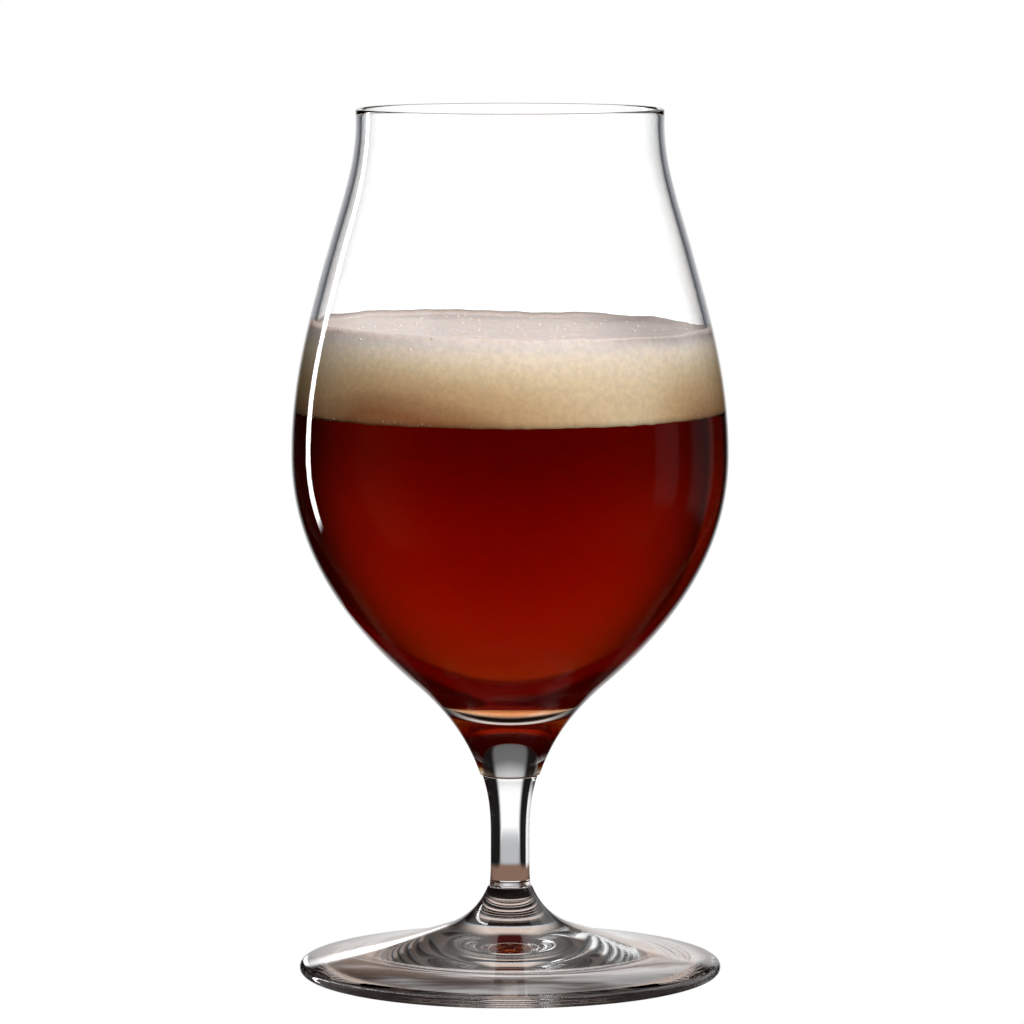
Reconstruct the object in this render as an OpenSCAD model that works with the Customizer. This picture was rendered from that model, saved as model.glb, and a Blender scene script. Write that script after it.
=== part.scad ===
// Stemmed beer snifter, poured with a dark beer under a head of foam.
// The glass is three pieces welded end to end: foot, stem and bowl. Everything is turned
// about the Z axis, and the foot stands on the plane z = 0.

/* [Foot] */
// Diameter of the foot
foot_d = 87; // [70:0.5:100]
// Thickness of the foot's rounded edge
edge_t = 2.2; // [1.6:0.1:3]
// Slope of the foot's top at the edge, in degrees from level
edge_slope = 8; // [4:0.5:14]
// Height of the plate, from the table to where the neck flares out of it
plate_h = 9.3; // [7:0.1:12]
// Diameter of the flare where it leaves the plate
flare_d = 27; // [20:0.5:36]
// Slope of the foot's top at the flare, in degrees from level
flare_slope = 19.5; // [12:0.5:28]
// Height of the neck, from the plate to the weld with the stem
neck_h = 8.6; // [5:0.1:14]
// Diameter of the neck at that weld
neck_d = 9.3; // [8:0.1:13]
// Lean of the neck's wall at that weld, in degrees from upright
neck_lean = 22; // [10:1:35]
// Width of the flat ring that the foot stands on
rest_w = 5; // [3:0.5:12]
// Depth of the shallow hollow under the foot
hollow_h = 4.8; // [0.5:0.1:6]

/* [Stem] */
// Diameter of the stem at its weld with the foot
stem_base_d = 8.4; // [7:0.1:12]
// Lean of the stem's wall at its base, in degrees from upright
stem_base_lean = 6; // [0:1:15]
// Height of the stem's waist above that weld
stem_lower_h = 6.5; // [4:0.5:30]
// Diameter of the stem at its waist
stem_waist_d = 8; // [6:0.1:11]
// Height from the waist to the weld with the bowl
stem_upper_h = 16.6; // [10:0.1:50]
// Diameter of the stem at its weld with the bowl
stem_top_d = 11.2; // [9:0.1:15]
// Lean of the stem's wall at its top, in degrees from upright
stem_top_lean = 18; // [8:1:28]
// Rounding of the glass edges on both sides of a weld
weld_round = 0.4; // [0.2:0.05:0.8]

/* [Bowl] */
// Diameter of the bowl's solid tip at its weld with the stem
tip_d = 12.5; // [9:0.1:16]
// Lean of the tip's wall at that weld, in degrees from upright
tip_lean = 19.5; // [10:0.5:30]
// Height from the weld to the throat, where the tip opens into the bowl
tip_h = 19.2; // [16:0.1:26]
// Outside diameter of the throat
throat_d = 39.5; // [32:0.5:48]
// Outward lean of the wall at the throat, in degrees from upright
throat_lean = 49; // [40:1:56]
// Height from the throat to the belly, the widest place
lower_h = 46.8; // [36:0.1:60]
// Outside diameter of the belly
belly_d = 89.6; // [78:0.2:104]
// Height from the belly to the shoulder, where the wall leans in most
upper_h = 41; // [32:0.5:54]
// Outside diameter of the shoulder
shoulder_d = 75; // [66:0.5:82]
// Inward lean of the wall at the shoulder, in degrees from upright
shoulder_lean = 15.5; // [8:0.5:24]
// Height from the shoulder to the lip
lip_h = 30; // [20:0.5:45]
// Outside diameter of the lip
lip_d = 63; // [54:0.5:72]
// Outward lean of the lip, in degrees from upright
lip_lean = 2.5; // [0:0.5:8]
// Height of the inside floor above the weld with the stem
floor_up = 14.4; // [8:0.1:17]
// Wall thickness at the throat
throat_wall = 4.3; // [2.5:0.1:6]
// Wall thickness at the belly
belly_wall = 1.6; // [1:0.1:3]
// Wall thickness at the shoulder
shoulder_wall = 1.4; // [1:0.1:2.5]
// Wall thickness at the rounded lip
lip_wall = 1.2; // [0.8:0.1:2]

/* [Drink] */
// Depth of the beer above the inside floor
beer_depth = 61.1; // [30:0.1:75]
// Height of the foam head on the beer
foam_h = 16.8; // [4:0.2:28]

/* [Hidden] */

// Share of a span's length over which a curve holds its direction at each end
ease = 0.36;
// Straight steps in one span of a curve, in one rounded edge and in the hollow under the foot
span_steps = 18;
edge_steps = 8;
hollow_steps = 14;
// Least step in height between two points of a drink's outline
least_step = 0.05;
// Segments around a turned piece
$fn = 144;

// Heights of the two welds, the inside floor, the drink's two surfaces and the lip
foot_weld_z = plate_h + neck_h;
bowl_weld_z = foot_weld_z + stem_lower_h + stem_upper_h;
floor_z = bowl_weld_z + floor_up;
beer_z = floor_z + beer_depth;
foam_z = beer_z + foam_h;
throat_z = bowl_weld_z + tip_h;
belly_z = throat_z + lower_h;
shoulder_z = belly_z + upper_h;
lip_z = shoulder_z + lip_h;

// A station of a curve is [radius, height, lean]. A lean is in degrees from upright and is
// positive where the wall goes outwards as it rises, so a wall's outside faces the angle -lean.
function place(s) = [s[0], s[1]];
function direction(lean) = [sin(lean), cos(lean)];
function facing(angle) = [cos(angle), sin(angle)];

// Point at share t of the smooth span from station a to station b
function on_span(a, b, t) =
    let (reach = ease * norm(place(b) - place(a)))
    pow(1 - t, 3) * place(a)
    + 3 * pow(1 - t, 2) * t * (place(a) + reach * direction(a[2]))
    + 3 * (1 - t) * pow(t, 2) * (place(b) - reach * direction(b[2]))
    + pow(t, 3) * place(b);

// Points of the smooth curve through a list of stations
function curve(stations) = [
    place(stations[0]),
    for (k = [1 : len(stations) - 1], i = [1 : span_steps])
        on_span(stations[k - 1], stations[k], i / span_steps)
];

// Inner points of a rounded edge about a centre, without the two ends of its arc
function rounded(centre, r, from, to) = [
    for (i = [1 : edge_steps - 1]) centre + r * facing(from + (to - from) * i / edge_steps)
];

// Station where a rounded edge runs into a wall of a given lean
function edge_station(centre, r, lean) = concat(centre + r * facing(-lean), lean);

// Station on the inside of a wall
function inside(s, wall) = concat(place(s) - wall * facing(-s[2]), s[2]);

function reversed(points) = [for (i = [len(points) - 1 : -1 : 0]) points[i]];

// Centres of the rounded edges: foot edge, lip, and the two sides of each weld
edge_r = edge_t / 2;
edge_centre = [foot_d / 2 - edge_r, edge_r];
lip_r = lip_wall / 2;
lip_centre = [lip_d / 2 - lip_r, lip_z - lip_r];
neck_centre = [neck_d / 2 - weld_round, foot_weld_z - weld_round];
stem_base_centre = [stem_base_d / 2 - weld_round, foot_weld_z + weld_round];
stem_top_centre = [stem_top_d / 2 - weld_round, bowl_weld_z - weld_round];
tip_centre = [tip_d / 2 - weld_round, bowl_weld_z + weld_round];

// The hollow under the foot is a shallow dome, an arc from the axis down to the flat ring
hollow_r = edge_centre[0] - rest_w;
dome_r = (pow(hollow_r, 2) + pow(hollow_h, 2)) / (2 * hollow_h);
dome_angle = asin(hollow_r / dome_r);
hollow_curve = [
    for (i = [0 : hollow_steps])
        let (a = dome_angle * i / hollow_steps)
        [dome_r * sin(a), hollow_h - dome_r * (1 - cos(a))]
];

// Stations of the foot's top, the stem's side and the bowl's outside and inside
foot_stations = [
    edge_station(edge_centre, edge_r, edge_slope - 90),
    [flare_d / 2, plate_h, flare_slope - 90],
    edge_station(neck_centre, weld_round, -neck_lean)
];
stem_stations = [
    edge_station(stem_base_centre, weld_round, -stem_base_lean),
    [stem_waist_d / 2, foot_weld_z + stem_lower_h, 0],
    edge_station(stem_top_centre, weld_round, stem_top_lean)
];
throat = [throat_d / 2, throat_z, throat_lean];
belly = [belly_d / 2, belly_z, 0];
shoulder = [shoulder_d / 2, shoulder_z, -shoulder_lean];
lip = edge_station(lip_centre, lip_r, lip_lean);
bowl_stations = [
    edge_station(tip_centre, weld_round, tip_lean),
    throat,
    belly,
    shoulder,
    lip
];
inside_stations = [
    [0, floor_z, 90],
    inside(throat, throat_wall),
    inside(belly, belly_wall),
    inside(shoulder, shoulder_wall),
    inside(lip, lip_wall)
];
inside_curve = curve(inside_stations);

// Radius of the bowl's inside at a height
function inside_radius(z) = lookup(z, [for (p = inside_curve) [p[1], p[0]]]);

// Outline of what fills the bowl between two heights; at the inside floor it starts on the axis
function filling(low, high) = [
    if (low > floor_z) [0, low],
    [inside_radius(low), low],
    for (p = inside_curve) if (p[1] > low + least_step && p[1] < high - least_step) p,
    [inside_radius(high), high],
    [0, high]
];

// A piece turned about the Z axis from the outline of its right half
module turned(outline) {
    rotate_extrude() polygon(outline);
}

// The foot: hollow underside, flat ring, rounded edge, sloping top and flared neck
module foot() {
    color("gainsboro")
        turned(concat(
            hollow_curve,
            [[edge_centre[0], 0]],
            rounded(edge_centre, edge_r, -90, 90 - edge_slope),
            curve(foot_stations),
            rounded(neck_centre, weld_round, neck_lean, 90),
            [[neck_centre[0], foot_weld_z], [0, foot_weld_z]]
        ));
}

// The solid stem, drawn in to a waist
module stem() {
    color("lightsteelblue")
        turned(concat(
            [[0, foot_weld_z], [stem_base_centre[0], foot_weld_z]],
            rounded(stem_base_centre, weld_round, -90, stem_base_lean),
            curve(stem_stations),
            rounded(stem_top_centre, weld_round, -stem_top_lean, 90),
            [[stem_top_centre[0], bowl_weld_z], [0, bowl_weld_z]]
        ));
}

// The bowl: solid tip, round belly, shoulder and straight neck with a rounded lip
module bowl() {
    color("whitesmoke")
        turned(concat(
            [[0, bowl_weld_z], [tip_centre[0], bowl_weld_z]],
            rounded(tip_centre, weld_round, -90, -tip_lean),
            curve(bowl_stations),
            rounded(lip_centre, lip_r, -lip_lean, 180 - lip_lean),
            reversed(inside_curve)
        ));
}

// The beer, up to the foam
module beer() {
    color("maroon")
        turned(filling(floor_z, beer_z));
}

// The head of foam on the beer
module foam() {
    color("burlywood")
        turned(filling(beer_z, foam_z));
}

foot();
stem();
bowl();
beer();
foam();
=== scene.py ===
# %% [markdown]
# # A poured beer snifter
# This lesson dresses a stemmed beer glass: a foot, a stem and a bowl of clear glass, welded end to
# end, with a dark red-brown beer and a head of foam in it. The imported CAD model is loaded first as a
# fixed frame. It says where every piece is and how big it is, so nothing has to be fitted by eye.

# %% Load the frame
import math

import bpy
import numpy as np
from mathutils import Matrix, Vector, noise


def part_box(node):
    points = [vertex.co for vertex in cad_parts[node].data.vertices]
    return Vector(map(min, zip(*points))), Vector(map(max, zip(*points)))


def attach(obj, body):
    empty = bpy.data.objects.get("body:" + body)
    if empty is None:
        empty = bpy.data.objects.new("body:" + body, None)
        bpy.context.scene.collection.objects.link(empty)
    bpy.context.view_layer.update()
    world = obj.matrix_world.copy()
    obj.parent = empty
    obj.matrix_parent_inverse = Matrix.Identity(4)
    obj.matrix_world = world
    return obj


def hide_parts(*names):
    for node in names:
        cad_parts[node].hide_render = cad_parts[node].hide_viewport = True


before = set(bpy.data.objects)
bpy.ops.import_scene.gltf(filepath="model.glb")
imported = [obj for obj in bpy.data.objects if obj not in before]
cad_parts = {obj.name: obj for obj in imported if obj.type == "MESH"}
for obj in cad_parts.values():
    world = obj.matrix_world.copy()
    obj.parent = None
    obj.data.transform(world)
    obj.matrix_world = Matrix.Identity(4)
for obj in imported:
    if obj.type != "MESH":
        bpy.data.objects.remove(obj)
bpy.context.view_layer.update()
print("nodes in the frame:", sorted(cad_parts))

# %% [markdown]
# ## Camera
# The lip's ellipse is thin and the foot's is much fuller, so the eye is just above the lip and not far
# away. Their ratio gives a distance of 1.22 m and a height of 222 mm. A long lens then frames the
# glass, pointing six degrees down, with no shift.

# %% Place the camera
CAMERA_PLACE = (0.0004, -1.224, 0.2221)
CAMERA_PITCH = 5.914
LENS_MM = 210.9
SENSOR_MM = 36.0

scene = bpy.context.scene
camera_data = bpy.data.cameras.new("Camera")
camera_data.lens = LENS_MM
camera_data.sensor_width = SENSOR_MM
camera = bpy.data.objects.new("Camera", camera_data)
camera.location = CAMERA_PLACE
camera.rotation_euler = (math.radians(90 - CAMERA_PITCH), 0, 0)
scene.collection.objects.link(camera)
scene.camera = camera
print("camera at", CAMERA_PLACE, "with a lens of", LENS_MM, "mm")

# %% [markdown]
# ## Outlines of the glass
# Everything here was turned or blown about one axis, so each piece is fully given by the outline of
# its right half. An outline could be traced point by point, but then no one could change it. Instead
# it runs through a few stations, each a radius, a height and a lean, with a smooth curve between
# neighbours. The frame gives the main radii and heights, and the rest are named sizes in metres.

# %% Read the main sizes from the frame
foot_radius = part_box("foot")[1].x
foot_weld_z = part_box("foot")[1].z
bowl_weld_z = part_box("stem")[1].z
belly_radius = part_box("bowl")[1].x
lip_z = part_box("bowl")[1].z
floor_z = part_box("beer")[0].z
beer_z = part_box("beer")[1].z
foam_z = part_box("foam")[1].z
print(f"beer line at {beer_z * 1000:.1f} mm, foam top at {foam_z * 1000:.1f} mm")

# %% Curves through stations
EASE = 0.36
SPAN_STEPS = 40
EDGE_STEPS = 10


def heading(lean):
    """Direction along a wall that leans this many degrees out from upright."""
    return np.array([math.sin(math.radians(lean)), math.cos(math.radians(lean))])


def facing(angle):
    """Direction at an angle, in degrees, above the level outward direction."""
    return np.array([math.cos(math.radians(angle)), math.sin(math.radians(angle))])


def wall_curve(stations):
    """Points of the smooth wall through a list of stations (radius, height, lean)."""
    points = [np.array(stations[0][:2])]
    for start, end in zip(stations, stations[1:]):
        a = np.array(start[:2])
        b = np.array(end[:2])
        reach = EASE * np.linalg.norm(b - a)
        leave = a + reach * heading(start[2])
        arrive = b - reach * heading(end[2])
        for t in np.linspace(0, 1, SPAN_STEPS + 1)[1:]:
            s = 1 - t
            points.append(s**3 * a + 3 * s * s * t * leave + 3 * s * t * t * arrive + t**3 * b)
    return points


def rounded_edge(centre, radius, start, end):
    """Inner points of a rounded edge, an arc between two angles."""
    angles = np.linspace(start, end, EDGE_STEPS + 1)[1:-1]
    return [np.array(centre) + radius * facing(angle) for angle in angles]


def edge_station(centre, radius, lean):
    """Station where a rounded edge runs into a wall of a given lean."""
    place = np.array(centre) + radius * facing(-lean)
    return (place[0], place[1], lean)


def inside_station(station, wall):
    """Station on the inside of a wall, square to its outside."""
    place = np.array(station[:2]) - wall * facing(-station[2])
    return (place[0], place[1], station[2])


print("curves: each span between two stations has", SPAN_STEPS, "steps")

# %% Outline of the foot
EDGE_RADIUS = 0.0011
EDGE_SLOPE = 8
FLARE_RADIUS = 0.0135
PLATE_HEIGHT = 0.0093
FLARE_SLOPE = 19.5
NECK_RADIUS = 0.00465
NECK_LEAN = 22
REST_WIDTH = 0.005
HOLLOW_DEPTH = 0.0048
HOLLOW_STEPS = 60
WELD_ROUND = 0.0004

edge_centre = (foot_radius - EDGE_RADIUS, EDGE_RADIUS)
neck_centre = (NECK_RADIUS - WELD_ROUND, foot_weld_z - WELD_ROUND)
hollow_radius = edge_centre[0] - REST_WIDTH
dome_radius = (hollow_radius**2 + HOLLOW_DEPTH**2) / (2 * HOLLOW_DEPTH)
hollow_places = np.linspace(0, hollow_radius, HOLLOW_STEPS + 1)
hollow_curve = [
    (r, HOLLOW_DEPTH - dome_radius + math.sqrt(dome_radius**2 - r * r)) for r in hollow_places
]
foot_stations = [
    edge_station(edge_centre, EDGE_RADIUS, EDGE_SLOPE - 90),
    (FLARE_RADIUS, PLATE_HEIGHT, FLARE_SLOPE - 90),
    edge_station(neck_centre, WELD_ROUND, -NECK_LEAN),
]
foot_outline = [
    *hollow_curve,
    (edge_centre[0], 0),
    *rounded_edge(edge_centre, EDGE_RADIUS, -90, 90 - EDGE_SLOPE),
    *wall_curve(foot_stations),
    *rounded_edge(neck_centre, WELD_ROUND, NECK_LEAN, 90),
    (neck_centre[0], foot_weld_z),
    (0, foot_weld_z),
]
print("foot outline:", len(foot_outline), "points")

# %% Outline of the stem
STEM_BASE_RADIUS = 0.0042
STEM_BASE_LEAN = 6
WAIST_RADIUS = 0.004
WAIST_HEIGHT = 0.0244
STEM_TOP_RADIUS = 0.0056
STEM_TOP_LEAN = 18

stem_base_centre = (STEM_BASE_RADIUS - WELD_ROUND, foot_weld_z + WELD_ROUND)
stem_top_centre = (STEM_TOP_RADIUS - WELD_ROUND, bowl_weld_z - WELD_ROUND)
stem_stations = [
    edge_station(stem_base_centre, WELD_ROUND, -STEM_BASE_LEAN),
    (WAIST_RADIUS, WAIST_HEIGHT, 0),
    edge_station(stem_top_centre, WELD_ROUND, STEM_TOP_LEAN),
]
stem_outline = [
    (0, foot_weld_z),
    (stem_base_centre[0], foot_weld_z),
    *rounded_edge(stem_base_centre, WELD_ROUND, -90, STEM_BASE_LEAN),
    *wall_curve(stem_stations),
    *rounded_edge(stem_top_centre, WELD_ROUND, -STEM_TOP_LEAN, 90),
    (stem_top_centre[0], bowl_weld_z),
    (0, bowl_weld_z),
]
print("stem outline:", len(stem_outline), "points")

# %% Outline of the bowl
TIP_RADIUS = 0.00625
TIP_LEAN = 19.5
THROAT = (0.01975, 0.0602, 49)
BELLY_HEIGHT = 0.107
SHOULDER = (0.0375, 0.148, -15.5)
LIP_RADIUS = 0.0315
LIP_LEAN = 2.5
THROAT_WALL = 0.0043
BELLY_WALL = 0.0016
SHOULDER_WALL = 0.0014
LIP_WALL = 0.0012

tip_centre = (TIP_RADIUS - WELD_ROUND, bowl_weld_z + WELD_ROUND)
lip_centre = (LIP_RADIUS - LIP_WALL / 2, lip_z - LIP_WALL / 2)
belly = (belly_radius, BELLY_HEIGHT, 0)
lip = edge_station(lip_centre, LIP_WALL / 2, LIP_LEAN)
bowl_outside = wall_curve([edge_station(tip_centre, WELD_ROUND, TIP_LEAN), THROAT, belly, SHOULDER, lip])
bowl_inside = wall_curve([
    (0, floor_z, 90),
    inside_station(THROAT, THROAT_WALL),
    inside_station(belly, BELLY_WALL),
    inside_station(SHOULDER, SHOULDER_WALL),
    inside_station(lip, LIP_WALL),
])
bowl_outline = [
    (0, bowl_weld_z),
    (tip_centre[0], bowl_weld_z),
    *rounded_edge(tip_centre, WELD_ROUND, -90, -TIP_LEAN),
    *bowl_outside,
    *rounded_edge(lip_centre, LIP_WALL / 2, -LIP_LEAN, 180 - LIP_LEAN),
    *reversed(bowl_inside),
]
inside_heights = [p[1] for p in bowl_inside]
inside_radii = [p[0] for p in bowl_inside]


def inside_radius(z):
    """Radius of the bowl's inside at a height."""
    return float(np.interp(z, inside_heights, inside_radii))


print("bowl outline:", len(bowl_outline), "points")

# %% [markdown]
# ## A lathe in Geometry Nodes
# Blender's Screw modifier can spin an outline, but a small node tree says better what happens: a grid
# has one row for each point of the outline and one column for each step around, and every grid point
# is moved to its place on the circle. The seam and the poles are then merged, so the piece is closed.

# %% Helpers for node trees
def plug(tree, value, socket):
    """Set a socket: a link if the value is another socket, otherwise a constant."""
    if isinstance(value, bpy.types.NodeSocket):
        tree.links.new(value, socket)
    else:
        socket.default_value = value


def add_node(tree, kind, settings=None, **inputs):
    """Add a node, set its properties, then fill the inputs that are named."""
    node = tree.nodes.new(kind)
    for name, value in (settings or {}).items():
        setattr(node, name, value)
    for name, value in inputs.items():
        plug(tree, value, node.inputs[name.replace("_", " ")])
    return node


def calculate(tree, operation, *values):
    """Add a Math node and return its result."""
    node = add_node(tree, "ShaderNodeMath", {"operation": operation})
    for value, socket in zip(values, node.inputs):
        plug(tree, value, socket)
    return node.outputs[0]


print("helpers for node trees: plug, add_node and calculate")

# %% Node tree of the lathe
MERGE_DISTANCE = 1e-6


def lathe_tree():
    """Node tree that turns an outline in the XZ plane about the Z axis."""
    tree = bpy.data.node_groups.new("Lathe", "GeometryNodeTree")
    tree.interface.new_socket("Outline", in_out="INPUT", socket_type="NodeSocketGeometry")
    tree.interface.new_socket("Steps", in_out="INPUT", socket_type="NodeSocketInt")
    tree.interface.new_socket("Finish", in_out="INPUT", socket_type="NodeSocketMaterial")
    tree.interface.new_socket("Piece", in_out="OUTPUT", socket_type="NodeSocketGeometry")
    given = add_node(tree, "NodeGroupInput")
    points = add_node(tree, "GeometryNodeAttributeDomainSize", Geometry=given.outputs["Outline"])
    columns = calculate(tree, "ADD", given.outputs["Steps"], 1)
    grid = add_node(tree, "GeometryNodeMeshGrid")
    plug(tree, points.outputs["Point Count"], grid.inputs["Vertices X"])
    plug(tree, columns, grid.inputs["Vertices Y"])
    index = add_node(tree, "GeometryNodeInputIndex").outputs[0]
    row = calculate(tree, "FLOOR", calculate(tree, "DIVIDE", calculate(tree, "ADD", index, 0.5), columns))
    column = calculate(tree, "SUBTRACT", index, calculate(tree, "MULTIPLY", row, columns))
    place = add_node(
        tree, "GeometryNodeSampleIndex", {"data_type": "FLOAT_VECTOR"}, Geometry=given.outputs["Outline"]
    )
    plug(tree, add_node(tree, "GeometryNodeInputPosition").outputs[0], place.inputs["Value"])
    plug(tree, row, place.inputs["Index"])
    apart = add_node(tree, "ShaderNodeSeparateXYZ", Vector=place.outputs[0])
    turn = calculate(tree, "DIVIDE", calculate(tree, "MULTIPLY", column, math.tau), given.outputs["Steps"])
    across = calculate(tree, "MULTIPLY", apart.outputs["X"], calculate(tree, "COSINE", turn))
    back = calculate(tree, "MULTIPLY", apart.outputs["X"], calculate(tree, "SINE", turn))
    spot = add_node(tree, "ShaderNodeCombineXYZ", X=across, Y=back, Z=apart.outputs["Z"])
    turned = add_node(
        tree, "GeometryNodeSetPosition", Geometry=grid.outputs["Mesh"], Position=spot.outputs[0]
    )
    closed = add_node(
        tree, "GeometryNodeMergeByDistance", Geometry=turned.outputs[0], Distance=MERGE_DISTANCE
    )
    outward = add_node(tree, "GeometryNodeFlipFaces", Mesh=closed.outputs[0])
    smooth = add_node(tree, "GeometryNodeSetShadeSmooth", Geometry=outward.outputs[0])
    real = add_node(tree, "GeometryNodeRealizeInstances", Geometry=smooth.outputs[0])
    finished = add_node(
        tree, "GeometryNodeSetMaterial", Geometry=real.outputs[0], Material=given.outputs["Finish"]
    )
    result = add_node(tree, "NodeGroupOutput")
    plug(tree, finished.outputs[0], result.inputs["Piece"])
    return tree


lathe = lathe_tree()
print("lathe:", len(lathe.nodes), "nodes")

# %% Run a tree and keep the mesh
TURN_STEPS = 160
MILLILITRES = 1e6


def socket_key(tree, name):
    """Identifier of a tree's input, which is what a modifier is set by."""
    return next(item.identifier for item in tree.interface.items_tree if item.name == name)


def grow(name, start_mesh, tree, **inputs):
    """Run a node tree on a mesh and keep the result as a plain mesh object."""
    starter = bpy.data.objects.new(name + "_start", start_mesh)
    scene.collection.objects.link(starter)
    modifier = starter.modifiers.new("Tree", "NODES")
    modifier.node_group = tree
    for label, value in inputs.items():
        modifier[socket_key(tree, label.replace("_", " "))] = value
    made = starter.evaluated_get(bpy.context.evaluated_depsgraph_get())
    mesh = bpy.data.meshes.new_from_object(made)
    bpy.data.objects.remove(starter)
    while mesh.materials and mesh.materials[0] is None:
        mesh.materials.pop(index=0)
    piece = bpy.data.objects.new(name, mesh)
    scene.collection.objects.link(piece)
    return piece


def enclosed_volume(mesh):
    """Volume inside a closed mesh in millilitres, positive if its faces point outwards."""
    mesh.calc_loop_triangles()
    corners = np.array([v.co for v in mesh.vertices], float)
    faces = np.array([t.vertices for t in mesh.loop_triangles])
    a, b, c = corners[faces[:, 0]], corners[faces[:, 1]], corners[faces[:, 2]]
    return float(np.einsum("ij,ij->i", a, np.cross(b, c)).sum() / 6 * MILLILITRES)


def turned_piece(name, outline, finish):
    """Turn an outline of (radius, height) points into a closed piece."""
    line = bpy.data.meshes.new(name + "_outline")
    line.from_pydata([(p[0], 0, p[1]) for p in outline], [(i, i + 1) for i in range(len(outline) - 1)], [])
    piece = grow(name, line, lathe, Steps=TURN_STEPS, Finish=finish)
    print(f"{name}: {len(piece.data.polygons)} faces, {enclosed_volume(piece.data):.2f} ml")
    return piece


print("every piece is turned in", TURN_STEPS, "steps")

# %% [markdown]
# ## Clear glass
# The glass is clear, but not perfect: a blown wall has a faint waviness, and a used foot has a few
# softer patches. A Glass BSDF would do, but the Principled BSDF with full transmission also survives an
# export. Noise on the piece's own Object coordinates gives the roughness and the wave. Two places
# need a finish of their own: the inside wall, where the drink wets it and it loses its shine, and the
# weld faces, where the glass is fused.

# %% Helpers for finishes
WHITE = (1, 1, 1, 1)
BLACK = (0, 0, 0, 1)


def new_finish(name):
    """Empty node material; returns it with its tree and its output node."""
    finish = bpy.data.materials.new(name)
    finish.use_nodes = True
    tree = finish.node_tree
    tree.nodes.clear()
    return finish, tree, add_node(tree, "ShaderNodeOutputMaterial")


def object_place(tree):
    """Place on the piece, in metres."""
    return add_node(tree, "ShaderNodeTexCoord").outputs["Object"]


def noise_at(tree, place, scale, detail):
    """Noise between 0 and 1, at so many waves to the metre."""
    return add_node(tree, "ShaderNodeTexNoise", Vector=place, Scale=scale, Detail=detail).outputs[0]


def ramp(tree, value, low, high, first=0.0, last=1.0):
    """Smooth step from one number to another while a value rises from low to high."""
    node = add_node(tree, "ShaderNodeMapRange", {"interpolation_type": "SMOOTHSTEP"}, Value=value)
    for label, limit in (("From Min", low), ("From Max", high), ("To Min", first), ("To Max", last)):
        plug(tree, limit, node.inputs[label])
    return node.outputs[0]


print("helpers for finishes: new_finish, object_place, noise_at and ramp")

# %% Glass finish
GLASS_IOR = 1.5
GLASS_TINT = (0.985, 0.99, 0.99, 1)
WALL_WAVES = 55.0
WALL_WAVE_HEIGHT = 0.00002
PATCH_WAVES = 30.0
POLISH = (0.0, 0.012)


def glass_finish(name, shine):
    """Clear glass with a faint wave and a given tint of its shine."""
    finish, tree, output = new_finish(name)
    place = object_place(tree)
    wave = add_node(
        tree, "ShaderNodeBump", Distance=WALL_WAVE_HEIGHT, Height=noise_at(tree, place, WALL_WAVES, 2.0)
    )
    shader = add_node(
        tree,
        "ShaderNodeBsdfPrincipled",
        Base_Color=GLASS_TINT,
        IOR=GLASS_IOR,
        Transmission_Weight=1.0,
        Roughness=ramp(tree, noise_at(tree, place, PATCH_WAVES, 3.0), 0.45, 0.75, *POLISH),
        Normal=wave.outputs[0],
        Specular_Tint=shine,
    )
    plug(tree, shader.outputs[0], output.inputs["Surface"])
    return finish


def weld_finish():
    """Inside a weld the glass is fused, so light passes the joint without bending."""
    finish, tree, output = new_finish("weld_face")
    plug(tree, add_node(tree, "ShaderNodeBsdfTransparent").outputs[0], output.inputs["Surface"])
    return finish


bowl_glass = glass_finish("bowl_glass", WHITE)
foot_glass = glass_finish("foot_glass", WHITE)
wet_glass = glass_finish("wet_glass", BLACK)
weld_face = weld_finish()
print("glass finishes:", bowl_glass.name, foot_glass.name, wet_glass.name, weld_face.name)

# %% Turn the glass pieces
LEVEL = 1e-6
FLOOR_ROUND = 0.004
WALL_SLACK = 0.0003


def clear_welds(piece, heights):
    """Give the flat weld faces at these heights the finish that lets light straight through."""
    piece.data.materials.append(weld_face)
    for face in piece.data.polygons:
        levels = [piece.data.vertices[i].co.z for i in face.vertices]
        if any(max(abs(z - height) for z in levels) < LEVEL for height in heights):
            face.material_index = 1


def wet_inside(piece):
    """Give the inner wall below the foam's top the finish of wetted glass."""
    piece.data.materials.append(wet_glass)
    for face in piece.data.polygons:
        inward = face.normal.x * face.center.x + face.normal.y * face.center.y < 0
        near_floor = face.center.z < floor_z + FLOOR_ROUND
        if floor_z - LEVEL < face.center.z < foam_z and (inward or near_floor):
            if Vector(face.center.xy).length < inside_radius(face.center.z) + WALL_SLACK:
                face.material_index = 2


foot = turned_piece("foot_glass", foot_outline, foot_glass)
stem = turned_piece("stem_glass", stem_outline, foot_glass)
bowl = turned_piece("bowl_glass", bowl_outline, bowl_glass)
clear_welds(foot, [foot_weld_z])
clear_welds(stem, [foot_weld_z, bowl_weld_z])
clear_welds(bowl, [bowl_weld_z])
wet_inside(bowl)
for piece, node in ((foot, "foot"), (stem, "stem"), (bowl, "bowl")):
    piece.visible_shadow = False
    piece.visible_diffuse = False
    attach(piece, "root")
    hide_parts(node)

# %% [markdown]
# ## Beer
# The beer is a clear liquid that swallows green and blue light, so it is amber where it is thin and
# deep red where it is thick. A red glass shader would be red all over, while Volume Absorption counts
# the way that the light has gone. The beer reaches a tenth of a millimetre into the wall, so that no
# air is left between liquid and glass.

# %% Beer finish
BEER_IOR = 1.34
BEER_COLOUR = (0.803, 0.40, 0.0, 1)
BEER_DENSITY = 150.0
HAZE_WAVES = 40.0


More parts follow.
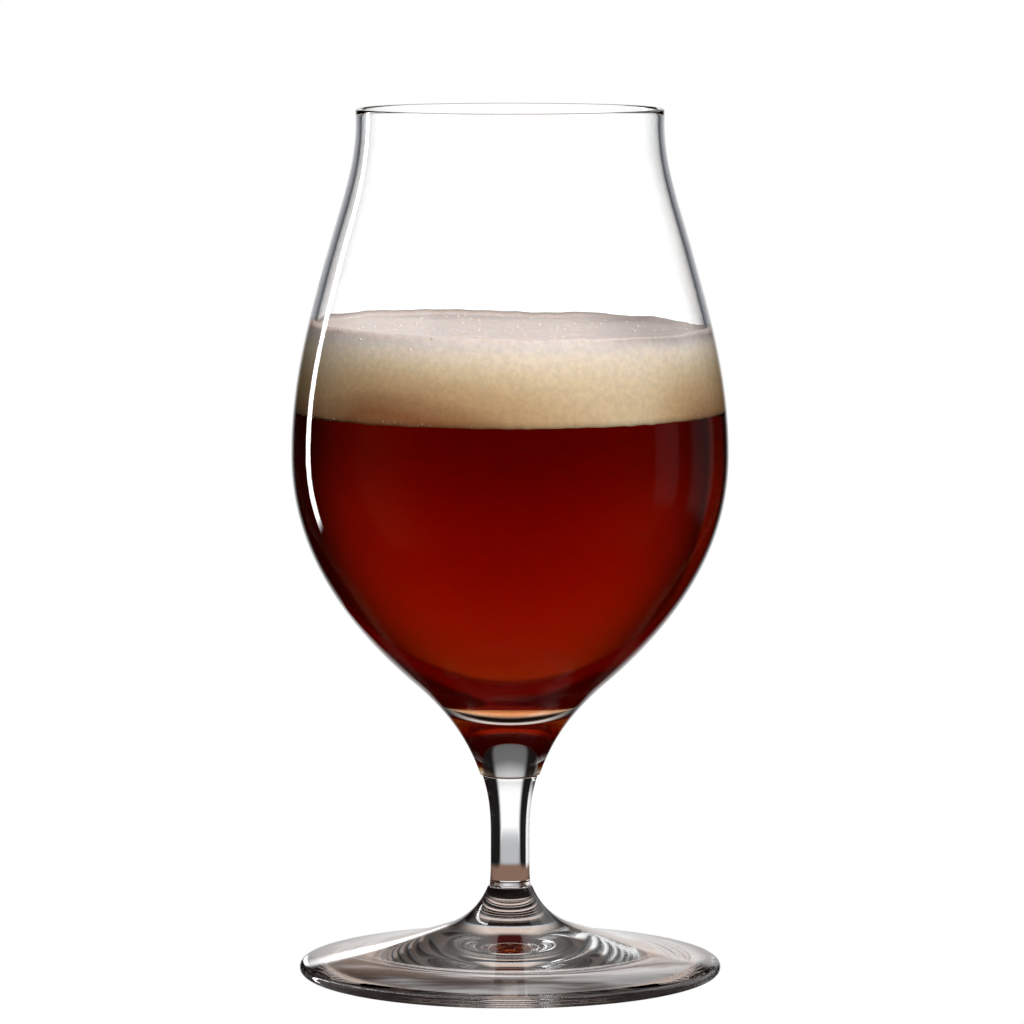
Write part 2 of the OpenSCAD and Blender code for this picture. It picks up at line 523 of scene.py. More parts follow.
def beer_finish():
    """Clear dark beer."""
    finish, tree, output = new_finish("clear_beer")
    place = object_place(tree)
    shader = add_node(
        tree,
        "ShaderNodeBsdfPrincipled",
        Base_Color=WHITE,
        IOR=BEER_IOR,
        Transmission_Weight=1.0,
        Roughness=ramp(tree, noise_at(tree, place, HAZE_WAVES, 2.0), 0.4, 0.8, 0.0, 0.01),
        Specular_Tint=BLACK,
    )
    depth = add_node(tree, "ShaderNodeVolumeAbsorption", Color=BEER_COLOUR, Density=BEER_DENSITY)
    plug(tree, shader.outputs[0], output.inputs["Surface"])
    plug(tree, depth.outputs[0], output.inputs["Volume"])
    return finish


clear_beer = beer_finish()
print("beer finish:", clear_beer.name)

# %% Fill the bowl
BEER_OVERLAP = 0.00012
LEAST_STEP = 0.0002


def pushed_out(points, distance):
    """Move a run of outline points square to the run, into the wall."""
    run = np.array(points)
    along = np.gradient(run, axis=0)
    along /= np.linalg.norm(along, axis=1)[:, None]
    return [tuple(p) for p in run + distance * np.column_stack([along[:, 1], -along[:, 0]])]


beer_wall = [p for p in bowl_inside if p[1] < beer_z - LEAST_STEP]
beer_wall.append(np.array([inside_radius(beer_z), beer_z]))
beer_side = pushed_out(beer_wall, BEER_OVERLAP)
beer_side[0] = (0, beer_side[0][1])
beer_side[-1] = (beer_side[-1][0], beer_z)
beer = turned_piece("beer_drink", [*beer_side, (0, beer_z)], clear_beer)
beer.visible_shadow = False
beer.visible_diffuse = False
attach(beer, "root")
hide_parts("beer")

# %% [markdown]
# ## Foam
# Foam is millions of tiny bubbles. Light goes in, scatters and comes out again nearby, which is what
# subsurface scattering does. A colour ramp follows the height: brown at the beer, tan above it, cream at
# the top. That is partly wet foam and partly painted shade, deepening downwards from the lit top. The
# left side, the rim and the top's right and far parts carry painted shade too, the right side painted
# light, and the underside a painted glow. The body is turned like the rest, then its top and its lower
# rim are moved a little by noise, because foam settles unevenly. A sculpted body would do too, but no
# one could change it by a number.

# %% Helpers for colours
def blend(tree, share, first, last):
    """Mix two colours by a share from 0 to 1."""
    node = add_node(tree, "ShaderNodeMix", {"data_type": "RGBA"})
    plug(tree, share, node.inputs[0])
    plug(tree, first, node.inputs[6])
    plug(tree, last, node.inputs[7])
    return node.outputs[2]


def choose(tree, switch, off, on):
    """One of two numbers by a switch of 0 or 1, or a mix of both in between."""
    node = add_node(tree, "ShaderNodeMix", {"data_type": "FLOAT"})
    plug(tree, switch, node.inputs[0])
    plug(tree, off, node.inputs[2])
    plug(tree, on, node.inputs[3])
    return node.outputs[0]


def noted(tree, name):
    """A number that was noted on every point of the piece."""
    return add_node(tree, "ShaderNodeAttribute", {"attribute_name": name}).outputs["Fac"]


print("helpers for colours: blend, choose and noted")

# %% Foam finish
FOAM_TONES = (
    (0.0, (0.31, 0.125, 0.047, 1)),
    (0.20, (0.40, 0.225, 0.105, 1)),
    (0.33, (0.53, 0.34, 0.175, 1)),
    (0.48, (0.61, 0.425, 0.24, 1)),
    (0.65, (0.745, 0.595, 0.395, 1)),
    (0.82, (0.87, 0.74, 0.60, 1)),
    (0.91, (0.83, 0.74, 0.67, 1)),
    (1.0, (0.90, 0.77, 0.71, 1)),
)
# Grey of the painted shade along the foam's rim and on the right and far parts of its top
FOAM_RIM_SHADE = (0.30, 0.265, 0.265, 1)
FOAM_DEPTH = (0.0012, 0.0008, 0.0005)
LAYER_WAVES = 90.0
SPECKLE_WAVES = 900.0
GRAIN_CELLS = 3200.0
GRAIN_HEIGHT = 0.00008


def painted_side_light(tree, place):
    """Painted light and shade: how much paler than its level the foam is, lighter right, darker left."""
    across = add_node(tree, "ShaderNodeSeparateXYZ", Vector=place).outputs["X"]
    # Painted light on the right, where the key lamp stands, painted shade on the left, middling near both
    # edges
    slope = ramp(tree, across, -0.034, 0.025, -0.25, 0.58)
    near_edge = ramp(tree, calculate(tree, "ABSOLUTE", across), 0.026, 0.038)
    layered = add_node(tree, "ShaderNodeMapping", Vector=place, Scale=(1, 1, 3))
    layers = noise_at(tree, layered.outputs[0], LAYER_WAVES, 4.0)
    drift = calculate(tree, "MULTIPLY_ADD", layers, 0.12, -0.06)
    return calculate(tree, "ADD", choose(tree, near_edge, slope, 0.15), drift)


def foam_finish():
    """Matt froth of fine bubbles: pale at the top, brown at the beer, partly wetness and partly painted
    shade.
    """
    finish, tree, output = new_finish("froth")
    place = object_place(tree)
    level = noted(tree, "level")
    below = calculate(tree, "POWER", calculate(tree, "SUBTRACT", 1.0, level), 1.7)
    share = calculate(tree, "MULTIPLY_ADD", below, painted_side_light(tree, place), level)
    # Tone by height: partly wet brown foam, partly painted shade that deepens downwards from the lit top
    tones = add_node(tree, "ShaderNodeValToRGB", Fac=share)
    stops = tones.color_ramp.elements
    while len(stops) < len(FOAM_TONES):
        stops.new(1.0)
    for stop, (position, tone) in zip(stops, FOAM_TONES):
        stop.position = position
        stop.color = tone
    apart = add_node(tree, "ShaderNodeSeparateXYZ", Vector=place)
    # Painted shade: a grey line along the rim where foam meets glass, strongest at the back, and a greyer
    # top at right and back
    at_back = ramp(tree, apart.outputs["Y"], -0.016, 0.004, 0.4, 0.95)
    rim = calculate(tree, "MULTIPLY", noted(tree, "rim"), at_back)
    at_right = ramp(tree, apart.outputs["X"], 0.012, 0.029, 0.0, 0.52)
    at_far_side = ramp(tree, apart.outputs["Y"], 0.012, 0.034, 0.0, 0.36)
    painted_top_shade = calculate(tree, "ADD", at_right, at_far_side)
    painted_top_shade = calculate(tree, "MULTIPLY", ramp(tree, level, 0.85, 1.0), painted_top_shade)
    grey = calculate(tree, "MAXIMUM", rim, painted_top_shade)
    colour = blend(tree, grey, tones.outputs[0], FOAM_RIM_SHADE)
    grain = ramp(tree, noise_at(tree, place, SPECKLE_WAVES, 3.0), 0.3, 0.7, 0.92, 1.05)
    # Darker again in the lowest part, next to the beer: more of the same wetness and painted shade
    grain = calculate(tree, "MULTIPLY", grain, ramp(tree, level, 0.0, 0.09, 0.68, 1.0))
    speckled = add_node(tree, "ShaderNodeMix", {"data_type": "RGBA", "blend_type": "MULTIPLY"})
    plug(tree, 1.0, speckled.inputs[0])
    plug(tree, colour, speckled.inputs[6])
    plug(tree, grain, speckled.inputs[7])
    cells = add_node(tree, "ShaderNodeTexVoronoi", Vector=place, Scale=GRAIN_CELLS)
    bump = add_node(
        tree, "ShaderNodeBump", Distance=GRAIN_HEIGHT, Strength=0.5, Height=cells.outputs["Distance"]
    )
    shader = add_node(
        tree,
        "ShaderNodeBsdfPrincipled",
        Base_Color=speckled.outputs[2],
        Roughness=0.6,
        Subsurface_Weight=0.5,
        Subsurface_Radius=FOAM_DEPTH,
        Subsurface_Scale=1.0,
        Normal=bump.outputs[0],
    )
    plug(tree, shader.outputs[0], output.inputs["Surface"])
    return finish


froth = foam_finish()
print("foam finish:", froth.name, "in", len(FOAM_TONES), "tones")

# %% Underside of the foam
UNDERSIDE_WAVES = 150.0
UNDERSIDE_GLOW = 1.25
UNDERSIDE_DARK = (0.12, 0.095, 0.07, 1)
UNDERSIDE_PALE = (0.95, 1.0, 0.8, 1)


def underside_finish():
    """Wet underside of the foam with a painted glow, standing in for backdrop light through the froth."""
    finish, tree, output = new_finish("foam_underside")
    place = object_place(tree)
    apart = add_node(tree, "ShaderNodeSeparateXYZ", Vector=place)
    wander = noise_at(tree, place, UNDERSIDE_WAVES, 4.0)
    uneven = calculate(tree, "MULTIPLY_ADD", wander, 0.006, apart.outputs["Y"])
    aside = calculate(tree, "ABSOLUTE", apart.outputs["X"])
    # Painted light: pale glowing patches where backdrop light would come through, dark glow between them
    glow_patches = ramp(tree, uneven, 0.019, 0.031)
    glow_patches = calculate(tree, "MULTIPLY", glow_patches, ramp(tree, uneven, 0.0335, 0.036, 1.0, 0.1))
    glow_patches = calculate(tree, "MULTIPLY", glow_patches, ramp(tree, aside, 0.014, 0.026, 1.0, 0.3))
    shader = add_node(
        tree,
        "ShaderNodeBsdfPrincipled",
        Base_Color=FOAM_TONES[1][1],
        Roughness=0.7,
        Emission_Color=blend(tree, glow_patches, UNDERSIDE_DARK, UNDERSIDE_PALE),
        Emission_Strength=UNDERSIDE_GLOW,
    )
    finish.cycles.emission_sampling = "NONE"
    plug(tree, shader.outputs[0], output.inputs["Surface"])
    return finish


foam_underside = underside_finish()
print("finish of the foam's underside:", foam_underside.name)

# %% Body of the foam
FOAM_OVERLAP = 0.00008
FOAM_SINK = 0.0003
SIDE_STEPS = 40
TOP_STEPS = 60

foam_low = beer_z - FOAM_SINK
foam_heights = np.linspace(foam_low, foam_z, SIDE_STEPS)
foam_side = [(inside_radius(z) + FOAM_OVERLAP, z) for z in foam_heights]
foam_top = [(r, foam_z) for r in np.linspace(foam_side[-1][0], 0, TOP_STEPS + 1)[1:]]
foam = turned_piece("foam_head", [(0, foam_low), *foam_side, *foam_top], froth)

# %% Let the foam settle
FOAM_TILT = 0.02
FOAM_SLOPE = 0.014
FOAM_CLIMB = 0.0011
CLIMB_RANGE = (-0.7, -0.1)
# Height in metres, waves to the metre and layer of the noise, for the top twice and the lower rim
SWELL = (0.0005, 90, 3.1)
RIPPLE = (0.0002, 330, 8.7)
SCALLOP = (0.0002, 500, 5.3)
DOWNWARD = -0.5


def unevenness(x, y, height, waves, layer):
    """How far noise moves the foam at a place."""
    return height * noise.noise(Vector((x * waves, y * waves, layer)))


def settle(piece):
    """Tilt and roughen the foam's top, scallop its lower rim, and note every point's level."""
    level = piece.data.attributes.new("level", "FLOAT", "POINT")
    rim = piece.data.attributes.new("rim", "FLOAT", "POINT")
    for vertex in piece.data.vertices:
        x, y, z = vertex.co
        share = (z - foam_low) / (foam_z - foam_low)
        radius = math.hypot(x, y)
        at_rim = z > foam_z - LEVEL and radius > foam_side[-1][0] - LEVEL
        lift = -FOAM_TILT * x - FOAM_SLOPE * y
        lift += unevenness(x, y, *SWELL)
        lift += unevenness(x, y, *RIPPLE)
        if at_rim:
            lift += FOAM_CLIMB * float(np.interp(y / radius, CLIMB_RANGE, (0, 1)))
        drop = unevenness(x, y, *SCALLOP)
        settled_z = z + share * lift + (1 - share) * drop
        follow_wall = (inside_radius(settled_z) + FOAM_OVERLAP) / (inside_radius(z) + FOAM_OVERLAP)
        vertex.co = (x * follow_wall, y * follow_wall, settled_z)
        level.data[vertex.index].value = share
        rim.data[vertex.index].value = float(at_rim)
    piece.data.update()


def light_underside(piece):
    """Give the faces that look down into the beer the finish with the painted glow."""
    piece.data.materials.append(foam_underside)
    for face in piece.data.polygons:
        if face.normal.z < DOWNWARD:
            face.material_index = 1


settle(foam)
light_underside(foam)
foam_levels = [vertex.co.z for vertex in foam.data.vertices]
print(f"settled foam: from {min(foam_levels) * 1000:.1f} to {max(foam_levels) * 1000:.1f} mm")
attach(foam, "root")
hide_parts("foam")

# %% [markdown]
# ## Bubbles
# Where foam meets the beer and the air, single bubbles can be told apart. They repeat, so a node tree
# scatters points over a band of the foam's surface, seats one small sphere on each and gives every
# sphere its own size. A particle system could scatter them too, but it couldn't be kept as a plain
# mesh so simply. The seed is fixed, so each run gives the same bubbles.

# %% Node tree of the bubbles
BUBBLE_SEGMENTS = 8
BUBBLE_RINGS = 6


def bubble_tree():
    """Node tree that seats small spheres on the part of a surface between two heights."""
    tree = bpy.data.node_groups.new("Bubbles", "GeometryNodeTree")
    tree.interface.new_socket("Foam", in_out="INPUT", socket_type="NodeSocketGeometry")
    for label in ("Low", "High", "Density", "Smallest", "Largest"):
        tree.interface.new_socket(label, in_out="INPUT", socket_type="NodeSocketFloat")
    tree.interface.new_socket("Seed", in_out="INPUT", socket_type="NodeSocketInt")
    tree.interface.new_socket("Finish", in_out="INPUT", socket_type="NodeSocketMaterial")
    tree.interface.new_socket("Bubbles", in_out="OUTPUT", socket_type="NodeSocketGeometry")
    given = add_node(tree, "NodeGroupInput").outputs
    spot = add_node(tree, "GeometryNodeInputPosition").outputs[0]
    level = add_node(tree, "ShaderNodeSeparateXYZ", Vector=spot).outputs["Z"]
    inside_band = calculate(
        tree,
        "MULTIPLY",
        calculate(tree, "GREATER_THAN", level, given["Low"]),
        calculate(tree, "LESS_THAN", level, given["High"]),
    )
    points = add_node(
        tree,
        "GeometryNodeDistributePointsOnFaces",
        Mesh=given["Foam"],
        Selection=inside_band,
        Density=given["Density"],
        Seed=given["Seed"],
    )
    sphere = add_node(
        tree, "GeometryNodeMeshUVSphere", Segments=BUBBLE_SEGMENTS, Rings=BUBBLE_RINGS, Radius=1.0
    )
    size = add_node(tree, "FunctionNodeRandomValue", {"data_type": "FLOAT"})
    plug(tree, given["Smallest"], size.inputs[2])
    plug(tree, given["Largest"], size.inputs[3])
    plug(tree, given["Seed"], size.inputs["Seed"])
    seated = add_node(
        tree,
        "GeometryNodeInstanceOnPoints",
        Points=points.outputs["Points"],
        Instance=sphere.outputs["Mesh"],
        Scale=size.outputs[1],
    )
    real = add_node(tree, "GeometryNodeRealizeInstances", Geometry=seated.outputs[0])
    smooth = add_node(tree, "GeometryNodeSetShadeSmooth", Geometry=real.outputs[0])
    finished = add_node(
        tree, "GeometryNodeSetMaterial", Geometry=smooth.outputs[0], Material=given["Finish"]
    )
    plug(tree, finished.outputs[0], add_node(tree, "NodeGroupOutput").inputs["Bubbles"])
    return tree


bubbles = bubble_tree()
print("bubbles:", len(bubbles.nodes), "nodes")

# %% Bubble finishes
BUBBLE_BROWN = (0.36, 0.21, 0.11, 1)
BUBBLE_TAN = (0.62, 0.45, 0.29, 1)
BUBBLE_CREAM = (0.86, 0.74, 0.64, 1)
BUBBLE_PALE = (0.96, 0.90, 0.84, 1)
TONE_WAVES = 700.0


def bubble_finish(name, dark, pale):
    """Wet skin of bubbles between two tones, no two quite alike."""
    finish, tree, output = new_finish(name)
    tone = ramp(tree, noise_at(tree, object_place(tree), TONE_WAVES, 1.0), 0.35, 0.65)
    shader = add_node(
        tree,
        "ShaderNodeBsdfPrincipled",
        Base_Color=blend(tree, tone, dark, pale),
        Roughness=0.7,
        Specular_IOR_Level=0.1,
    )
    plug(tree, shader.outputs[0], output.inputs["Surface"])
    return finish


wet_bubbles = bubble_finish("wet_bubbles", BUBBLE_BROWN, BUBBLE_TAN)
dry_bubbles = bubble_finish("dry_bubbles", BUBBLE_CREAM, BUBBLE_PALE)
print("bubble finishes:", wet_bubbles.name, dry_bubbles.name)

# %% Seat the bubbles
BUBBLE_SEED = 7

# Name, finish, lowest and highest place, bubbles to the square metre, smallest and largest radius
bubble_bands = (
    ("line_bubbles", wet_bubbles, beer_z - 0.0002, beer_z + 0.0005, 1.2e6, 0.00006, 0.00014),
    ("top_bubbles", dry_bubbles, foam_z - 0.0022, foam_z + 0.003, 3.0e4, 0.0001, 0.00024),
)
for name, skin, low, high, density, smallest, largest in bubble_bands:
    skins = grow(
        name,
        foam.data,
        bubbles,
        Low=low,
        High=high,
        Density=density,
        Smallest=smallest,
        Largest=largest,
        Seed=BUBBLE_SEED,
        Finish=skin,
    )
    print(f"{name}: {len(skins.data.polygons)} faces")
    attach(skins, "root")

# %% [markdown]
# ## Studio
# Glass has hardly any colour of its own: it shows the room. So the room is what needs care. A white
# backdrop stands behind the glass with dark gaps beside it, which draw the dark lines along the edges,
# and a tall strip light on the left makes the long white highlight. A photographer shades the glass
# with black cards, one for each part of it. Here the world does that: it asks how often a ray has
# passed a surface, because light that comes through the beer has passed six, through the empty neck
# four, and through the solid stem and foot only two. Directions are in degrees: azimuth 0 is straight
# behind the glass and grows to the right, elevation 0 is level and grows upwards.

# %% Helpers for the room
world = bpy.data.worlds.new("Studio")
scene.world = world
world.use_nodes = True
world.cycles.sampling_method = "NONE"
room = world.node_tree
room.nodes.clear()
look = add_node(room, "ShaderNodeTexCoord").outputs["Generated"]
aim = add_node(room, "ShaderNodeSeparateXYZ", Vector=look)
azimuth = calculate(room, "DEGREES", calculate(room, "ARCTAN2", aim.outputs["X"], aim.outputs["Y"]))
elevation = calculate(room, "DEGREES", calculate(room, "ARCSINE", aim.outputs["Z"]))
aside = calculate(room, "ABSOLUTE", azimuth)
ray = add_node(room, "ShaderNodeLightPath").outputs


def band(value, low, high, soft):
    """1 while a value is between low and high, falling to 0 over a soft edge."""
    rise = ramp(room, value, low - soft, low)
    fall = ramp(room, value, high, high + soft, 1.0, 0.0)
    return calculate(room, "MULTIPLY", rise, fall)


def times(*values):
    """Product of several numbers or sockets."""
    result = values[0]
    for value in values[1:]:
        result = calculate(room, "MULTIPLY", result, value)
    return result


def total(*values):
    """Sum of several numbers or sockets."""
    result = values[0]
    for value in values[1:]:
        result = calculate(room, "ADD", result, value)
    return result


print("helpers for the room: band, times and total")

# %% [markdown]
# ## Light through the glass
# The beer is brightest in the middle, where the backdrop is seen, and dark towards its sides. The
# empty neck is nearly white, with a grey veil on both sides. The solid stem and foot bend light far
# round, so they see narrow windows of white between the black cards.

# %% What is seen through the glass
through_beer = times(
    total(
        ramp(room, aside, 8, 47, 1.0, 0.07),
        times(ramp(room, aside, 64, 78), 0.8),
        times(band(azimuth, -56, -46, 5.0), 0.35),
    ),
    ramp(room, elevation, -8, 4, 1.0, 1.86),
    ramp(room, elevation, 9, 31, 1.0, 0.6),
    ramp(room, elevation, 35, 42, 1.0, 0.33),
)
through_neck = total(1.5, times(band(aside, 30, 40, 8.0), -0.4))
window_left = ramp(room, azimuth, -47, -41, 1.0, 0.0)
window_right = ramp(room, azimuth, 76, 90)
window_behind = ramp(room, aside, 16, 24, 1.0, 0.0)
window_below = ramp(room, elevation, -19, -14, 1.0, 0.0)
window = calculate(room, "MAXIMUM", window_left, window_right)
window = calculate(room, "MAXIMUM", window, window_behind)
window = calculate(room, "MAXIMUM", window, window_below)
through_solid = total(times(window, ramp(room, elevation, 3, 24, 1.1, 0.15)), 0.01)
print("light through the glass:", len(room.nodes), "nodes so far")

# %% [markdown]
# ## Light mirrored by the glass
# The outer face mirrors the strip light, the backdrop, a soft light above and a few faint panels.
# Light that is mirrored inside the solid glass, as in the foot, comes from cards of its own: they lay
# the rippled streaks over the foot, white at the right and warmer elsewhere.

# %% What is mirrored in the glass
STRIP_CENTRE = -47.0
STRIP_LEAN = 0.06
STRIP_HALF_WIDTH = 2.6
STRIP_LIGHT = 9.0
GLINT_LIGHT = 2.5
PANEL_LIGHT = 0.08
NECK_LIGHT = 0.7
SIDE_LIGHT = 0.09
DIM_LIGHT = 0.05
BEER_MIRROR = 0.35

strip_middle = calculate(room, "MULTIPLY_ADD", elevation, STRIP_LEAN, STRIP_CENTRE)
strip_offset = calculate(room, "SUBTRACT", azimuth, strip_middle)
strip_width = band(strip_offset, -STRIP_HALF_WIDTH, STRIP_HALF_WIDTH, 0.6)
first_mirror = calculate(room, "LESS_THAN", ray["Glossy Depth"], 1.5)
strip = times(strip_width, band(elevation, -15, 60, 4.0), STRIP_LIGHT, first_mirror)
panel_pair = total(band(azimuth, 48, 66, 6.0), band(azimuth, 82, 96, 3.0))
panels = times(panel_pair, band(elevation, -14, 5, 5.0), PANEL_LIGHT)
above = times(band(aside, 0, 60, 20.0), ramp(room, elevation, 24, 48))
behind = times(ramp(room, aside, 8, 22, 0.8, 0.0), band(elevation, -25, 11, 3.0))
glint = times(band(azimuth, -7, -5.5, 0.8), band(elevation, 7, 11, 2.0), GLINT_LIGHT)
neck_panel = times(band(azimuth, 26, 64, 8.0), band(elevation, 10, 45, 5.0), NECK_LIGHT)
outside_mirror = total(behind, above, strip, panels, neck_panel, glint)
inside_back = times(ramp(room, aside, 10, 30, 1.0, 0.0), ramp(room, elevation, 24, 38, 0.7, 0.0))
far_left = ramp(room, azimuth, -104, -84, 1.0, 0.0)
side_window = calculate(room, "MAXIMUM", ramp(room, elevation, 7, 16), far_left)
inside_left = times(band(azimuth, -125, -68, 10.0), side_window, ramp(room, elevation, 26, 34, 1.2, 0.0))
inside_right = times(band(azimuth, 84, 125, 8.0), ramp(room, elevation, 9, 15, 0.4, 0.0))
inside_sides = times(band(aside, 50, 110, 12.0), band(elevation, 4, 24, 6.0), SIDE_LIGHT)
inside_mirror = total(inside_back, inside_left, inside_right, inside_sides, DIM_LIGHT)
print("light mirrored by the glass:", len(room.nodes), "nodes so far")

# %% [markdown]
# ## The whole room
# A Light Path node tells what kind of ray asks. The camera gets plain white, glass gets the view that
# suits its path, and everything else gets a little fill light. Cards that are mirrored inside the
# glass have a tint: cool near the level, warm above and below it, red high up, where the beer would
# colour them, and none at the far left.

# %% Put the room together
FILL_LIGHT = 0.06
COOL_CARD = (0.90, 0.93, 1.0, 1)
WARM_CARD = (1.0, 0.80, 0.70, 1)
RED_CARD = (1.0, 0.12, 0.10, 1)

passed = ray["Transmission Depth"]
reflected = calculate(room, "GREATER_THAN", ray["Glossy Depth"], 0.5)
entered = calculate(room, "GREATER_THAN", passed, 0.5)
walled = calculate(room, "GREATER_THAN", passed, 2.5)
beery = calculate(room, "GREATER_THAN", passed, 4.5)
direct = choose(room, beery, choose(room, walled, through_solid, through_neck), through_beer)
mirrored = choose(room, entered, outside_mirror, choose(room, beery, inside_mirror, BEER_MIRROR))
glass_view = choose(room, reflected, direct, mirrored)
bent = calculate(room, "MAXIMUM", ray["Is Transmission Ray"], ray["Is Glossy Ray"])
light = choose(room, bent, FILL_LIGHT, glass_view)
light = choose(room, ray["Is Camera Ray"], light, 1.0)
card_tone = blend(room, band(elevation, -4, 3, 5.0), WARM_CARD, COOL_CARD)
card_tone = blend(room, ramp(room, elevation, 33, 42), card_tone, RED_CARD)
card_tone = blend(room, band(azimuth, -125, -68, 10.0), card_tone, WHITE)
warmed = blend(room, times(reflected, entered), WHITE, card_tone)
background = add_node(room, "ShaderNodeBackground", Color=warmed, Strength=light)
plug(room, background.outputs[0], add_node(room, "ShaderNodeOutputWorld").inputs["Surface"])
print("world:", len(room.nodes), "nodes")

# %% [markdown]
# ## Table
# The table is white to the eye. Through the foot one sees the patch of table right under it, where
# the beer and the glass throw brown shade and bright streaks of light. Through the stem one sees the
# table behind it, brown at first and then a cool grey. Both belong to a sheet of its own, which only
# light that has passed the glass can see, and which fades out with distance. A real shadow would need
# caustics, which are slow and noisy.

# %% White table
TABLE_SIZE = 8.0
TABLE_Z = -0.0002


def table_finish():
    """Plain white, with no light of its own for anything but the eye."""
    finish, tree, output = new_finish("studio_table")
    finish.cycles.emission_sampling = "NONE"
    light = add_node(tree, "ShaderNodeEmission", Color=WHITE, Strength=1.0)
    plug(tree, light.outputs[0], output.inputs["Surface"])
    return finish


def studio_sheet(name, corners, finish):
    """Four-cornered sheet that belongs to the studio and throws no shadow."""
    mesh = bpy.data.meshes.new(name)
    mesh.from_pydata(corners, [], [(0, 1, 2, 3)])
    mesh.materials.append(finish)
    sheet = bpy.data.objects.new(name, mesh)
    sheet.visible_shadow = False
    sheet.visible_diffuse = False
    scene.collection.objects.link(sheet)
    return sheet


def level_square(half_size, height):
    """Corners of a level square about the axis."""
    sides = ((-1, -1), (1, -1), (1, 1), (-1, 1))
    return [(half_size * x, half_size * y, height) for x, y in sides]


table = studio_sheet("studio_table", level_square(TABLE_SIZE / 2, TABLE_Z), table_finish())
table.visible_transmission = False
table.visible_glossy = False
print("table:", table.name, "at", TABLE_Z, "m")

# %% Light and shade under the foot
SHADE_REACH = 0.25
SHADE_DARK = (0.11, 0.07, 0.052, 1)
SHADE_GREY = (0.30, 0.25, 0.235, 1)
SHADE_PALE = (1.0, 0.98, 0.98, 1)
SHADE_EDGE = (0.07, 0.04, 0.03, 1)
SHADE_BROWN = (0.26, 0.155, 0.115, 1)
SHADE_COOL = (0.27, 0.275, 0.30, 1)
STREAK_WAVES = 80.0
STREAK_SLOPE = 2.4
STREAK_TURN = 0.5
SHADE_MIRRORED = 0.03


def shade_finish():
    """Brown shade with pale streaks under the foot, cool grey further out, then nothing."""
    finish, tree, output = new_finish("table_shade")
    finish.cycles.emission_sampling = "NONE"
    place = object_place(tree)
    apart = add_node(tree, "ShaderNodeSeparateXYZ", Vector=place)
    flat = add_node(tree, "ShaderNodeCombineXYZ", X=apart.outputs["X"], Y=apart.outputs["Y"])
    radius = add_node(tree, "ShaderNodeVectorMath", {"operation": "LENGTH"}, Vector=flat.outputs[0])
    radius = radius.outputs["Value"]
    drawn = add_node(
        tree, "ShaderNodeMapping", Vector=place, Rotation=(0, 0, STREAK_TURN), Scale=(0.4, 1, 1)
    )
    pattern = noise_at(tree, drawn.outputs[0], STREAK_WAVES, 3.0)
    pattern = calculate(tree, "MULTIPLY_ADD", apart.outputs["X"], STREAK_SLOPE, pattern)
    colour = blend(tree, ramp(tree, pattern, 0.34, 0.52), SHADE_DARK, SHADE_GREY)
    colour = blend(tree, ramp(tree, pattern, 0.44, 0.66), colour, SHADE_PALE)
    colour = blend(tree, ramp(tree, radius, 0.036, 0.042), colour, SHADE_EDGE)
    colour = blend(tree, ramp(tree, radius, 0.050, 0.070), colour, SHADE_BROWN)
    colour = blend(tree, ramp(tree, radius, 0.128, 0.140), colour, SHADE_COOL)
    ray = add_node(tree, "ShaderNodeLightPath")
    mirrored = calculate(tree, "GREATER_THAN", ray.outputs["Glossy Depth"], 0.5)
    front = ramp(tree, apart.outputs["Y"], -0.020, -0.006, 0.5, 1.0)
    strength = choose(tree, mirrored, front, SHADE_MIRRORED)
    glow = add_node(tree, "ShaderNodeEmission", Color=colour, Strength=strength)
    clear = add_node(tree, "ShaderNodeBsdfTransparent")
    thinning = ramp(tree, radius, 0.125, 0.145, 0.0, 0.3)
    fade = calculate(tree, "ADD", thinning, ramp(tree, radius, 0.16, 0.245, 0.0, 0.7))
    across = calculate(tree, "ABSOLUTE", apart.outputs["X"])
    beside = calculate(tree, "MULTIPLY", ramp(tree, across, 0.040, 0.062), ramp(tree, radius, 0.10, 0.14))
    fade = calculate(tree, "MAXIMUM", fade, beside)
    mix = add_node(tree, "ShaderNodeMixShader", Fac=fade)
    plug(tree, glow.outputs[0], mix.inputs[1])
    plug(tree, clear.outputs[0], mix.inputs[2])
    plug(tree, mix.outputs[0], output.inputs["Surface"])
    return finish


shade = studio_sheet("table_shade", level_square(SHADE_REACH, TABLE_Z / 2), shade_finish())
shade.visible_camera = False
shade.visible_glossy = False
print("shade:", shade.name, "reaches", SHADE_REACH, "m from the axis")

# %% [markdown]
# ## Black card
# The strip light would draw its white line down the stem too, which has none. A photographer stands a
# small black card between the two, and so does this scene: a sheet that only reflections can see.

# %% Black card beside the stem
CARD_TURN = math.radians(-48)
CARD_DISTANCE = 0.09
CARD_HALF_WIDTH = 0.018
CARD_TOP = 0.052


def card_finish():
    """Dead black card."""
    finish, tree, output = new_finish("black_card")
    plug(tree, add_node(tree, "ShaderNodeEmission", Strength=0.0).outputs[0], output.inputs["Surface"])
    return finish


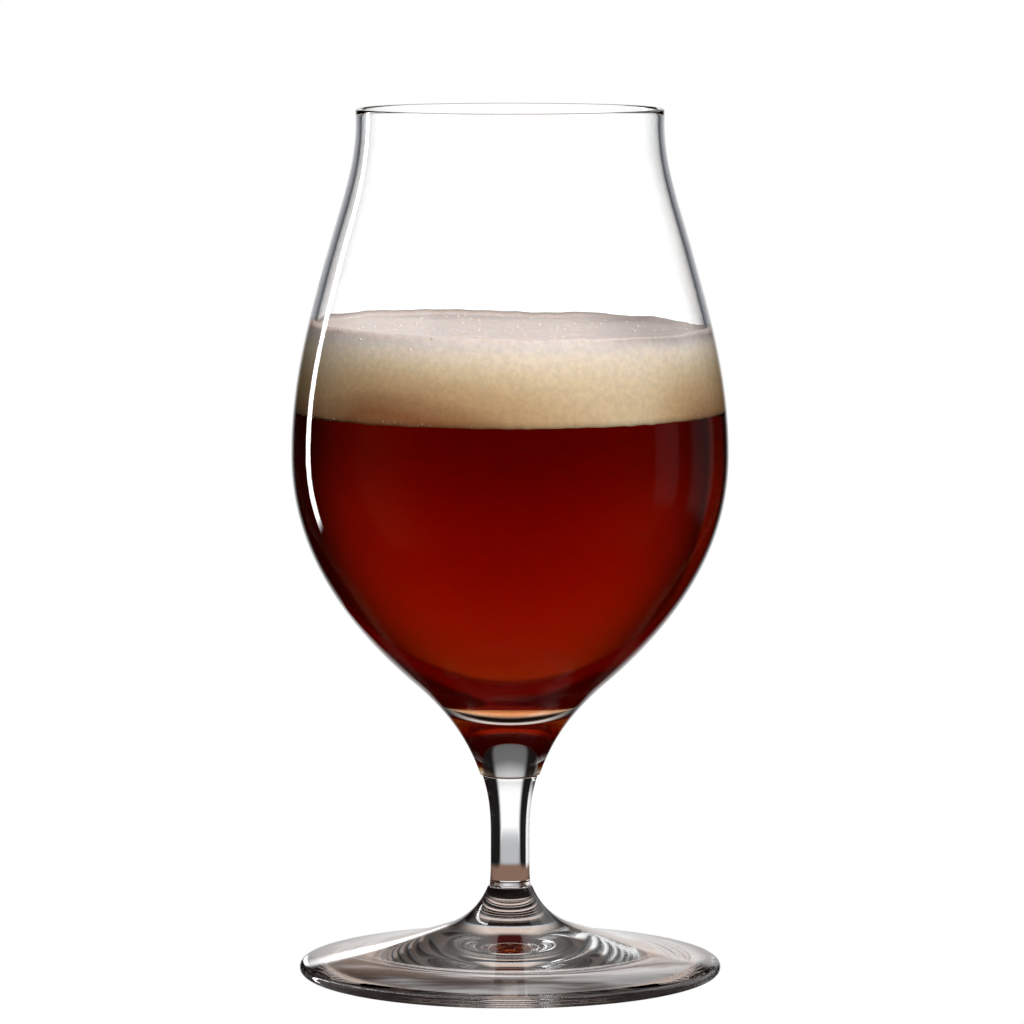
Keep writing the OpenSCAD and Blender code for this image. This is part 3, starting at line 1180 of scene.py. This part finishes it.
outward = Vector((math.sin(CARD_TURN), math.cos(CARD_TURN), 0))
sideways = Vector((outward.y, -outward.x, 0))
card_left = CARD_DISTANCE * outward - CARD_HALF_WIDTH * sideways
card_right = CARD_DISTANCE * outward + CARD_HALF_WIDTH * sideways
card_rise = Vector((0, 0, CARD_TOP))
card_corners = [card_left, card_right, card_right + card_rise, card_left + card_rise]
card = studio_sheet("stem_card", card_corners, card_finish())
card.visible_camera = False
card.visible_transmission = False
print("card:", card.name, "keeps the strip light off the stem")

# %% [markdown]
# ## Lamps
# Only the foam needs lamps: glass and beer are lit by the room behind them. The key light stands in
# front, a little to the right, so the foam's middle is brightest and its left side falls into shade.
# A weaker lamp overhead lights the foam's top, and a wide one behind keeps its far side from going
# black when the glass is looked at from there.

# %% Light the foam
def soft_lamp(name, place, target, size, watts):
    """Square soft light that shines on a target and isn't seen in the glass."""
    data = bpy.data.lights.new(name, "AREA")
    data.size = size
    data.energy = watts
    lamp = bpy.data.objects.new(name, data)
    lamp.location = place
    lamp.rotation_euler = (Vector(target) - Vector(place)).to_track_quat("-Z", "Y").to_euler()
    lamp.visible_camera = False
    lamp.visible_glossy = False
    lamp.visible_transmission = False
    scene.collection.objects.link(lamp)


foam_middle = (0, 0, (beer_z + foam_z) / 2)
# Name, place, size in metres and power in watts
lamps = (
    ("key_light", (0.33, -1.2, 0.75), 0.25, 19),
    ("overhead", (-0.05, 0.15, 1.1), 0.4, 4.5),
    ("back_fill", (-0.45, 1.1, 0.25), 0.5, 6),
)
for name, place, size, watts in lamps:
    soft_lamp(name, place, foam_middle, size, watts)
    print(f"{name}: {watts} W")

# %% [markdown]
# ## Bounces
# Light crosses many surfaces in a filled glass and is mirrored many times inside a solid foot. With
# Blender's usual limits such paths end in black, so the limits are raised. The Standard view keeps the
# backdrop pure white.

# %% Render settings that belong to the look
LIGHT_BOUNCES = 32
MIRROR_BOUNCES = 24

scene.view_settings.view_transform = "Standard"
scene.cycles.max_bounces = LIGHT_BOUNCES
scene.cycles.transmission_bounces = LIGHT_BOUNCES
scene.cycles.transparent_max_bounces = LIGHT_BOUNCES
scene.cycles.glossy_bounces = MIRROR_BOUNCES
print("light may bounce", LIGHT_BOUNCES, "times, between mirrors", MIRROR_BOUNCES, "times")
